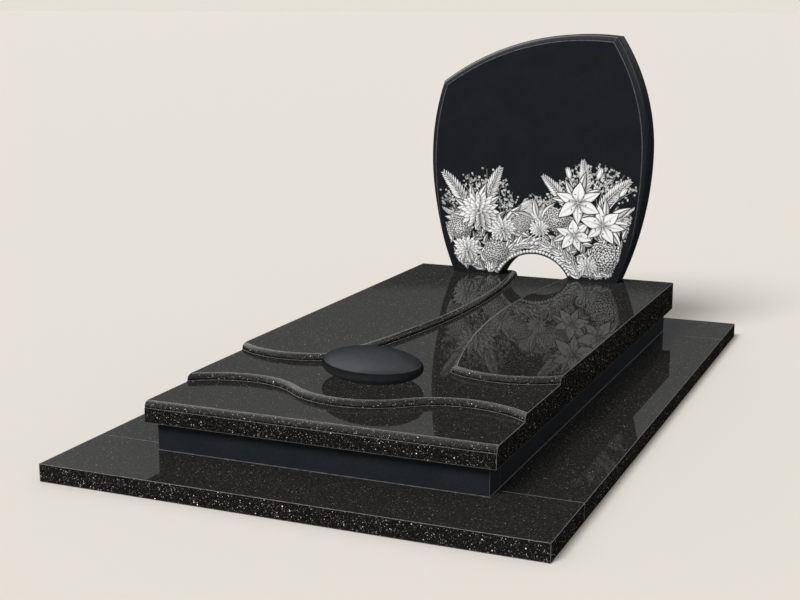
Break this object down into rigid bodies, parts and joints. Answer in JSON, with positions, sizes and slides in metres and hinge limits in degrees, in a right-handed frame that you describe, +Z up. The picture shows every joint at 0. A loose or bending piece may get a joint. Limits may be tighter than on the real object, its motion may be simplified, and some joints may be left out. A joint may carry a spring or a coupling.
{
  "type": "granite grave monument with headstone",
  "caption": "Granite grave monument: asymmetric headstone with an arched foot on a stepped ledger with a river bed, plinth, flat surround and an oval pebble.",
  "frame": {"origin": "centre of the underside of the surround, on the ground", "axes": "+Z up, +Y from the ledger's nose towards the headstone, +X to the right as seen from the nose"},
  "size_m": [1.4, 2.4, 1.133],
  "materials": {
    "speckled_granite": "polished near-black granite with fine white and bronze flecks",
    "plain_granite": "plain blue-black granite, satin",
    "pebble_stone": "smooth dark stone, waxed"
  },
  "bodies": {
    "root": {"base_front": "speckled_granite", "base_rear": "speckled_granite", "base_left": "speckled_granite", "base_right": "speckled_granite", "plinth_front": "plain_granite", "plinth_rear": "plain_granite", "plinth_left": "plain_granite", "plinth_right": "plain_granite", "ledger": "speckled_granite", "headstone": "plain_granite", "pebble": "pebble_stone"}
  },
  "joints": []
}
